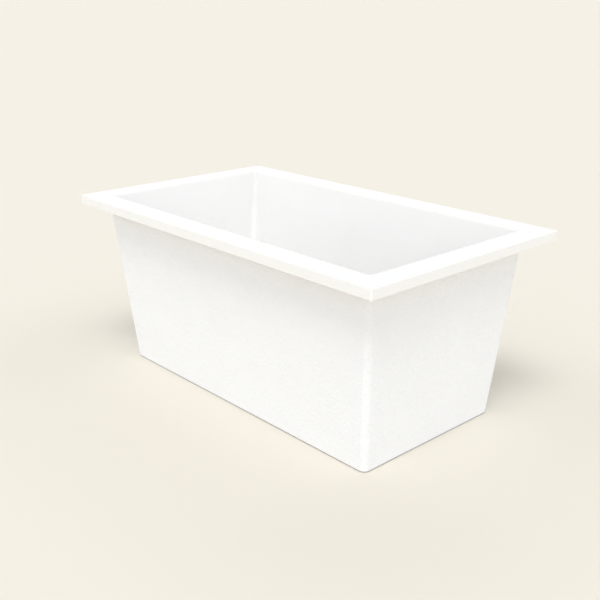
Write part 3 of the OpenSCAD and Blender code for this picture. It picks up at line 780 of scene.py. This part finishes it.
def foot_fixings():
    """Knurled inserts in the rails and the lock nuts under them."""
    low = RAIL_UNDERSIDE - INSERT_RIM
    knurl = lobed(8.2, 0.3, 24)
    nut = hexagon(19, low - 10, low)
    inserts = bmesh.new()
    nuts = bmesh.new()
    for number in FEET:
        place = foot_place(number)
        spin(inserts, [
            (FOOT_HOLE, low), (11, low), (11.5, low + 0.4), (11.5, low + 1.1),
            (11.2, low + INSERT_RIM), (8.4, low + INSERT_RIM), (knurl, low + 2), (knurl, low + 12),
            (8.2, low + 12.4), (8.2, low + 17.4), (7.8, low + 18), (6.5, low + 18),
            (FOOT_HOLE, low + 17.6),
        ], place, segments=96)
        spin(nuts, [
            (FOOT_HOLE, low - 9.4), (6.6, low - 10), (8.6, low - 10), (nut, low - 10),
            (nut, low - 9.4), (nut, low - 8.6), (nut, low - 1.4), (nut, low - 0.6), (nut, low),
            (8.6, low), (6.6, low), (FOOT_HOLE, low - 0.6),
        ], place)
    finished(mesh_object("foot_inserts_knurled", inserts), "zinc", "tub", "foot_inserts")
    finished(mesh_object("foot_lock_nuts_chamfered", nuts), "zinc", "tub", "foot_lock_nuts")


def screw(bm, place, shank):
    """A pan-head screw standing head down on its place, with a six-lobed recess in its head."""
    recess = lobed(1.5, 0.65, 6, 0.8)
    recess_edge = lobed(1.7, 0.65, 6, 0.8)
    tip = SCREW_HEAD + shank
    spin(bm, [
        (0, 1.5), (recess, 1.5), (recess, 0.05), (recess_edge, 0), (3, 0), (4.1, 0.25),
        (4.75, 0.9), (5, 1.9), (5, SCREW_HEAD), (2.5, SCREW_HEAD),
        *threaded(1.7, 2.48, 2.6, SCREW_HEAD + 0.4, tip - 4), (1.5, tip - 3), (0, tip),
    ], place)


def frame_screws():
    """Screws up through the cross rails into the boards, and down through the brackets."""
    low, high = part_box("board_screws")
    board_shank = (high.z - low.z) / MM - SCREW_HEAD
    bracket_shank = 12
    bracket_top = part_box("bracket_screws")[1].z
    boards = bmesh.new()
    brackets = bmesh.new()
    for x in CROSS_RAIL_X:
        for y in (-BOARD_SCREW_Y, BOARD_SCREW_Y):
            place = Matrix.Translation((x * MM, y * MM, (RAIL_UNDERSIDE - SCREW_HEAD) * MM))
            screw(boards, place, board_shank)
    for x in BRACKET_X:
        for y in (-LONG_RAIL_Y, LONG_RAIL_Y):
            head = Matrix.Translation((x * MM, y * MM, bracket_top))
            screw(brackets, head @ Matrix.Rotation(math.pi, 4, "X"), bracket_shank)
    finished(mesh_object("board_screws_cut", boards), "zinc", "tub", "board_screws")
    finished(mesh_object("bracket_screws_cut", brackets), "zinc", "tub", "bracket_screws")


for foot in FEET:
    foot_stud(foot)
    foot_pad(foot)
foot_fixings()
frame_screws()
soften("rim_battens", 0.6)
soften("frame_long_rails", 0.7)
soften("frame_cross_rails", 0.7)
soften("skirt_brackets", 0.5)


# ------------------------------------------------------------------ waste and trap

# Heights in mm. HUB is the underside of the flange's cross, and of the stem that slides in it.
PLUG_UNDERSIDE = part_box("plug_cap")[0].z / MM
FLANGE_BASE = PLUG_UNDERSIDE - 2.3
NECK_LOW, NECK_HIGH = 158, 184
HUB = 164


def waste_flange():
    """Dished flange on a threaded neck, with a four-armed cross that holds the cartridge."""
    base = FLANGE_BASE
    bm = bmesh.new()
    spin(bm, [
        (22.5, NECK_LOW), (24.6, NECK_LOW),
        *threaded(24.7, 25.45, 1.5, NECK_LOW + 0.8, NECK_HIGH - 1, 6),
        (25.2, NECK_HIGH), (25.2, base), (35.5, base), (36, base + 0.5), (36, base + 1.2),
        (35.6, base + 1.8), (34.8, base + 2), (31.4, base + 2), (30.8, base + 1.75),
        (30.4, base + 1.0), (29.8, base + 0.7), (23.4, base + 0.7), (22.4, base + 0.2),
        (22, base - 0.8), (22, NECK_LOW + 0.6),
    ], segments=96)
    spin(bm, [
        (5.05, HUB), (8.4, HUB), (9, HUB + 0.6), (9, HUB + 6.4), (8.4, HUB + 7), (5.05, HUB + 7),
    ])
    for turn in range(4):
        arm = Matrix.Rotation(turn * math.pi / 2, 4, "Z")
        block(bm, (7.5, -2, HUB), (22.6, 2, HUB + 6), arm, 0.5)
    finished(mesh_object("waste_flange_dished", bm), "chrome_trim", "tub", "waste_flange")


def plug():
    """Domed cap over a lip seal, on a stem that slides in a brass cartridge."""
    low = PLUG_UNDERSIDE
    cap = bmesh.new()
    spin(cap, [
        (0, low), (29.8, low), (30.6, low + 0.2), (31, low + 0.7), (31, low + 1.3),
        (30.75, low + 1.9), (30, low + 2.4), (28, low + 2.85), (24, low + 3.2),
        (18, low + 3.44), (10, low + 3.57), (4, low + 3.6), (0, low + 3.6),
    ], segments=128)
    finished(mesh_object("plug_cap_domed", cap), "chrome_trim", "plug", "plug_cap")
    seal = bmesh.new()
    spin(seal, [
        (17, low - 1.1), (17, low), (28.8, low), (29, low - 0.4), (28.4, low - 0.8),
        (27.4, low - 1.15), (26.2, low - 1.2), (25.4, low - 0.8), (18, low - 0.9),
    ], segments=96)
    finished(mesh_object("plug_seal_lipped", seal), "seal_rubber", "plug", "plug_seal")
    stem = bmesh.new()
    spin(stem, [
        (0, HUB), (3.2, HUB), (3.95, HUB + 0.8), (3.95, HUB + 3), (3.4, HUB + 3.4),
        (3.4, HUB + 4.6), (3.95, HUB + 5), (3.95, low), (0, low),
    ])
    finished(mesh_object("plug_stem_turned", stem), "brass_plain", "plug", "plug_stem")
    knurl = lobed(7.7, 0.28, 28)
    cartridge = bmesh.new()
    spin(cartridge, [
        (4.08, HUB - 3.6), (4.4, HUB - 4), (4.5, HUB - 4),
        *threaded(4.4, 4.97, 1, HUB - 3, HUB + 6, 6), (4.5, HUB + 7), (7.6, HUB + 7),
        (knurl, HUB + 7.4), (knurl, HUB + 12), (7.6, HUB + 12.4), (7.6, HUB + 13.4),
        (7.9, HUB + 13.8), (7.9, HUB + 19.2), (7.2, HUB + 20), (4.6, HUB + 20),
        (4.08, HUB + 19.6),
    ], segments=112)
    finished(mesh_object("plug_cartridge_turned", cartridge), "brass_plain", "tub",
             "plug_cartridge")


def trap_cup():
    """Moulded cup with a ribbed grip ring and a cleaning plug's boss under it."""
    low, top = (corner.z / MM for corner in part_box("trap_cup"))
    grip = lobed(49.9, 2.9, 12, 6, math.radians(15))
    bm = bmesh.new()
    spin(bm, [
        (0, low + 1), (12, low + 1), (13, low), (39, low), (41.4, low + 0.6), (43, low + 1.8),
        (47.4, low + 8.6), (48.8, low + 10.6), (49, low + 12), (49, top - 14), (49.6, top - 13.6),
        (50, top - 13.2), (grip, top - 12.6), (grip, top - 1.4), (50, top - 0.8), (49.4, top),
        (47, top), (46.3, top - 0.6), (46.2, top - 12), (43.2, top - 12), (43, top - 13),
        (43, low + 8), (41, low + 4.4), (38, low + 3), (0, low + 3),
    ], segments=144)
    finished(mesh_object("trap_cup_moulded", bm), "pipe_white", "tub", "trap_cup")


def outlet_axis():
    """Height of the outlet's middle, in metres."""
    low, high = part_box("outlet_nut")
    return (low.z + high.z) / 2


def outlet_nut():
    """Ribbed compression nut."""
    low, high = (corner.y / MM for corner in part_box("outlet_nut"))
    along = Matrix.Translation((0, 0, outlet_axis())) @ Matrix.Rotation(-math.pi / 2, 4, "X")
    grip = lobed(27.9, 2.4, 12, 5)
    bm = bmesh.new()
    spin(bm, [
        (24.3, low), (27.4, low), (28, low + 0.6), (grip, low + 1.2), (grip, high - 4.4),
        (28, high - 3.6), (27.6, high - 1), (26.8, high), (20.6, high), (20.3, high - 0.4),
        (20.3, high - 4), (24.3, high - 4.2),
    ], along, segments=96)
    finished(mesh_object("outlet_nut_ribbed", bm), "pipe_white", "tub", "outlet_nut")


def outlet_elbow():
    """A swept elbow with a chamfered spigot."""
    low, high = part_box("outlet_elbow")
    start = low.y / MM
    end = low.z / MM
    axis = outlet_axis() / MM
    outer = 20
    bend = 40
    steps = 16
    reach = high.y / MM - outer
    stations = [
        (start, axis, 0, outer - 0.8),
        (start + 1, axis, 0, outer),
        (reach - bend, axis, 0, outer),
    ]
    for step in range(1, steps + 1):
        turn = math.pi / 2 * step / steps
        y = reach - bend + bend * math.sin(turn)
        z = axis - bend + bend * math.cos(turn)
        stations.append((y, z, -turn, outer))
    down = -math.pi / 2
    stations += [(reach, end + 2, down, outer), (reach, end, down, outer - 1.1)]
    bm = bmesh.new()
    sweep(bm, stations, outer - 2, 48)
    finished(mesh_object("outlet_elbow_bent", bm), "pipe_white", "tub", "outlet_elbow")


waste_flange()
plug()
trap_cup()
outlet_nut()
outlet_elbow()


# ------------------------------------------------------------------ overflow

# In mm. The hose starts at the spout of the overflow's body, behind the wall.
HOSE_RADIUS = 11
HOSE_WALL = 1.8
HOSE_BEND = 45
HOSE_START_Y, HOSE_START_Z = -331.8, 476.3
HOSE_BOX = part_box("overflow_hose")
HOSE_LEVEL = HOSE_BOX[0].z / MM + HOSE_RADIUS + 1.2

# Middles of the two clips, in metres, in the overflow's own axes and in the tub's
SPOUT_CLIP = (0, 64 * MM, -19.07 * MM)
TRAP_CLIP = (0, -68 * MM, HOSE_LEVEL * MM)
ALONG_Y = Matrix.Rotation(-math.pi / 2, 4, "X")


def overflow_cover():
    """Domed cover with a rolled edge, held by a button-head screw."""
    bm = bmesh.new()
    spin(bm, [
        (33.5, 4), (34.6, 4), (35, 4.4), (35, 8.9), (34.8, 9.9), (34.2, 10.6), (33, 11.0),
        (28, 11.25), (18, 11.42), (7.2, 11.5), (6.5, 11.3), (6.3, 10.9), (6.3, 10.2),
        (3.2, 10.2), (3.2, 9.5), (33, 9.5), (33.5, 9),
    ], OVERFLOW_PLACE, segments=128)
    finished(mesh_object("overflow_cover_domed", bm), "chrome_trim", "tub", "overflow_cover")
    socket = hexagon(3.4)
    socket_edge = hexagon(3.8)
    bm = bmesh.new()
    spin(bm, [
        (0, -4), (1.8, -4), *threaded(2.4, 2.96, 1, -3.2, 8.6, 6), (2.9, 9.2), (2.9, 10.2),
        (5.6, 10.2), (6, 10.5), (6, 11), (5.5, 11.5), (4.4, 11.75), (3, 11.8),
        (socket_edge, 11.8), (socket, 11.4), (socket, 10.6), (0, 10.5),
    ], OVERFLOW_PLACE)
    finished(mesh_object("overflow_screw_button", bm), "chrome_trim", "tub", "overflow_screw")


def hose_marks(total):
    """(length along the hose, depth under its outside): plain cuffs, grooves between them."""
    cuff = 22
    pitch = 5.0
    groove_depth = 1.1
    marks = [(0, 0.4), (1, 0), (cuff - 2, 0)]
    for turn in range(int((total - 2 * cuff) / pitch)):
        start = cuff + turn * pitch
        marks += [
            (start + 0.1 * pitch, groove_depth), (start + 0.4 * pitch, groove_depth),
            (start + 0.5 * pitch, 0), (start + 0.95 * pitch, 0),
        ]
    return marks + [(total - cuff + 2, 0), (total - 1, 0), (total, 0.4)]


def hose_stations():
    """The hose's way down behind the wall, round its bend and in to the trap."""
    down = DRAFT - math.pi / 2
    straight = (HOSE_START_Z - HOSE_LEVEL - HOSE_BEND * (1 - math.sin(DRAFT))) / math.cos(DRAFT)
    arc = HOSE_BEND * -down
    bend_y = HOSE_START_Y + straight * math.sin(DRAFT) + HOSE_BEND * math.cos(DRAFT)
    bend_z = HOSE_LEVEL + HOSE_BEND
    end_y = HOSE_BOX[1].y / MM
    stations = []
    for length, depth in hose_marks(straight + arc + end_y - bend_y):
        if length <= straight:
            direction = down
            y = HOSE_START_Y + length * math.sin(DRAFT)
            z = HOSE_START_Z - length * math.cos(DRAFT)
        elif length < straight + arc:
            direction = down + (length - straight) / HOSE_BEND
            y = bend_y + HOSE_BEND * math.sin(direction)
            z = bend_z - HOSE_BEND * math.cos(direction)
        else:
            direction = 0
            y = bend_y + length - straight - arc
            z = HOSE_LEVEL
        stations.append((y, z, direction, HOSE_RADIUS - depth))
    return stations


def overflow_hose():
    """Corrugated hose from the overflow to the trap."""
    bm = bmesh.new()
    sweep(bm, hose_stations(), HOSE_RADIUS - HOSE_WALL, 40)
    finished(mesh_object("overflow_hose_corrugated", bm, 70), "hose_grey", "tub", "overflow_hose")


def hose_clips():
    """Two worm-drive bands, each with its screw's housing at one side."""
    at_spout = OVERFLOW_PLACE @ (Matrix.Translation(SPOUT_CLIP) @ ALONG_Y)
    at_trap = Matrix.Translation(TRAP_CLIP) @ ALONG_Y
    head = hexagon(6, 5, 8)
    bm = bmesh.new()
    for place in (at_spout, at_trap):
        spin(bm, [
            (11.15, -4.2), (11.3, -4.5), (12.1, -4.5), (12.3, -4.2), (12.3, 4.2), (12.1, 4.5),
            (11.3, 4.5), (11.15, 4.2),
        ], place, segments=72)
        block(bm, (12.1, -4.5, -3.6), (18.4, 4.5, 3.6), place, 0.6)
        worm = place @ Matrix.Translation((15.4 * MM, 0, 0)) @ Matrix.Rotation(math.pi / 2, 4, "X")
        spin(bm, [(0, 4), (2.4, 4), (head, 5), (head, 5.6), (head, 7.4), (head, 8), (0, 8)], worm)
    finished(mesh_object("hose_clips_worm", bm), "zinc", "tub", "hose_clips")


overflow_cover()
overflow_hose()
hose_clips()


# ------------------------------------------------------------------ floor, light and camera

CAMERA_AZIMUTH = 47.6
CAMERA_ELEVATION = 19.46
CAMERA_DISTANCE = 3.145
CAMERA_LENS = 52.2
CAMERA_SENSOR = 36
CAMERA_AIM = Vector((0, 0, 0.321))
FAR_AWAY = 400

# The floor's colour is painted shade: darker near the tub, running out to its far colour over its
# reach, outside the tub's footprint. It offsets the light the tub's sides throw on the floor and
# deepens the tub's shadows there.
FLOOR_FAR = (0.798, 0.761, 0.691)
FLOOR_PAINTED_SHADE = (0.735, 0.701, 0.637)
PAINTED_SHADE_REACH = 1.1
FOOTPRINT = (SKIRT_HIGH.x - 50 * MM, SKIRT_HIGH.y - 50 * MM, 1)

# The sky by the sine of its height: a floor-coloured band, then bright, then dim overhead.
HORIZON = (0.926, 0.888, 0.804)
SKY_LOW = (1.14, 1.175, 1.23)
SKY_HIGH = (0.33, 0.315, 0.28)
HORIZON_TOP = 0.08
SKY_LOW_AT = 0.16

# Two large boxes side by side, high up, and a small weak one beside the camera. Each is at
# an (azimuth, elevation), in degrees. A large one is three suns, turned apart.
LIGHT_COLOUR = (1, 0.995, 0.97)
FRONT_BOX, FRONT_ENERGY = (29, 61), 1.17
END_BOX, END_ENERGY = (61, 61), 0.6
CAMERA_BOX, CAMERA_ENERGY = (50.5, 19.3), 0.16
LARGE_BOX_TURNS, LARGE_BOX_SIZE = (-7, 0, 7), 22
SMALL_BOX_TURNS, SMALL_BOX_SIZE = (0,), 11


def direction_to(azimuth, elevation):
    """Away from the tub, in degrees. Azimuth 0 is in front of it, 90 on its right."""
    around = math.radians(azimuth)
    up = math.radians(elevation)
    return Vector((
        math.sin(around) * math.cos(up), -math.cos(around) * math.cos(up), math.sin(up),
    ))


def camera():
    data = bpy.data.cameras.new("camera")
    data.sensor_width = CAMERA_SENSOR
    data.lens = CAMERA_LENS
    data.clip_end = FAR_AWAY
    item = bpy.data.objects.new("camera", data)
    bpy.context.scene.collection.objects.link(item)
    back = direction_to(CAMERA_AZIMUTH, CAMERA_ELEVATION)
    item.location = CAMERA_AIM + back * CAMERA_DISTANCE
    item.rotation_mode = "QUATERNION"
    item.rotation_quaternion = (-back).to_track_quat("-Z", "Y")
    bpy.context.scene.camera = item


def studio_floor():
    """A pale floor with painted shade close to the tub, to offset the light the tub's sides throw on
    it.
    """
    finish = Finish("studio_floor", FLOOR_FAR, 0.9, Specular_IOR_Level=0.1)
    nodes = finish.tree.nodes
    value = finish.coords
    for operation, amount in (("ABSOLUTE", None), ("SUBTRACT", FOOTPRINT), ("MAXIMUM", (0, 0, 0))):
        step = nodes.new("ShaderNodeVectorMath")
        step.operation = operation
        finish.link(value, step.inputs[0])
        if amount:
            step.inputs[1].default_value = amount
        value = step.outputs["Vector"]
    distance = nodes.new("ShaderNodeVectorMath")
    distance.operation = "LENGTH"
    finish.link(value, distance.inputs[0])
    # Painted shade: 0 at the tub's footprint, where the floor is painted darkest, rising to 1 at the
    # reach.
    shade_fade = finish.ranged(distance.outputs["Value"], 0, 1, 0, PAINTED_SHADE_REACH)
    shade_fade.node.interpolation_type = "SMOOTHERSTEP"
    finish.colour_from(shade_fade, FLOOR_PAINTED_SHADE, FLOOR_FAR, 0, 1)
    bm = bmesh.new()
    bmesh.ops.create_grid(bm, x_segments=1, y_segments=1, size=FAR_AWAY)
    floor = mesh_object("studio_floor", bm)
    floor.data.materials.append(finish.material)


def soft_box(name, place, energy, turns, size):
    """A far strip light: soft suns side by side, each as wide as its size in degrees."""
    azimuth, elevation = place
    for index, turn in enumerate(turns):
        data = bpy.data.lights.new(f"{name}_{index}", "SUN")
        data.energy = energy / len(turns)
        data.angle = math.radians(size)
        data.color = LIGHT_COLOUR
        item = bpy.data.objects.new(data.name, data)
        item.rotation_mode = "QUATERNION"
        item.rotation_quaternion = direction_to(azimuth + turn, elevation).to_track_quat("Z", "Y")
        bpy.context.scene.collection.objects.link(item)


def studio_world():
    """Soft light from all round, bright low down and dim overhead, over a floor-coloured band."""
    world = bpy.data.worlds.new("studio")
    world.use_nodes = True
    nodes = world.node_tree.nodes
    links = world.node_tree.links
    direction = nodes.new("ShaderNodeTexCoord").outputs["Generated"]
    height = nodes.new("ShaderNodeSeparateXYZ")
    ramp = nodes.new("ShaderNodeValToRGB")
    ramp.color_ramp.elements[0].color = (*HORIZON, 1)
    ramp.color_ramp.elements[1].color = (*SKY_HIGH, 1)
    for position, colour in ((HORIZON_TOP, HORIZON), (SKY_LOW_AT, SKY_LOW)):
        ramp.color_ramp.elements.new(position).color = (*colour, 1)
    links.new(direction, height.inputs["Vector"])
    links.new(height.outputs["Z"], ramp.inputs["Fac"])
    links.new(ramp.outputs["Color"], nodes["Background"].inputs["Color"])
    bpy.context.scene.world = world


def lights():
    studio_world()
    soft_box("front_box", FRONT_BOX, FRONT_ENERGY, LARGE_BOX_TURNS, LARGE_BOX_SIZE)
    soft_box("end_box", END_BOX, END_ENERGY, LARGE_BOX_TURNS, LARGE_BOX_SIZE)
    soft_box("camera_box", CAMERA_BOX, CAMERA_ENERGY, SMALL_BOX_TURNS, SMALL_BOX_SIZE)


camera()
studio_floor()
lights()
bpy.context.scene.view_settings.view_transform = "Standard"
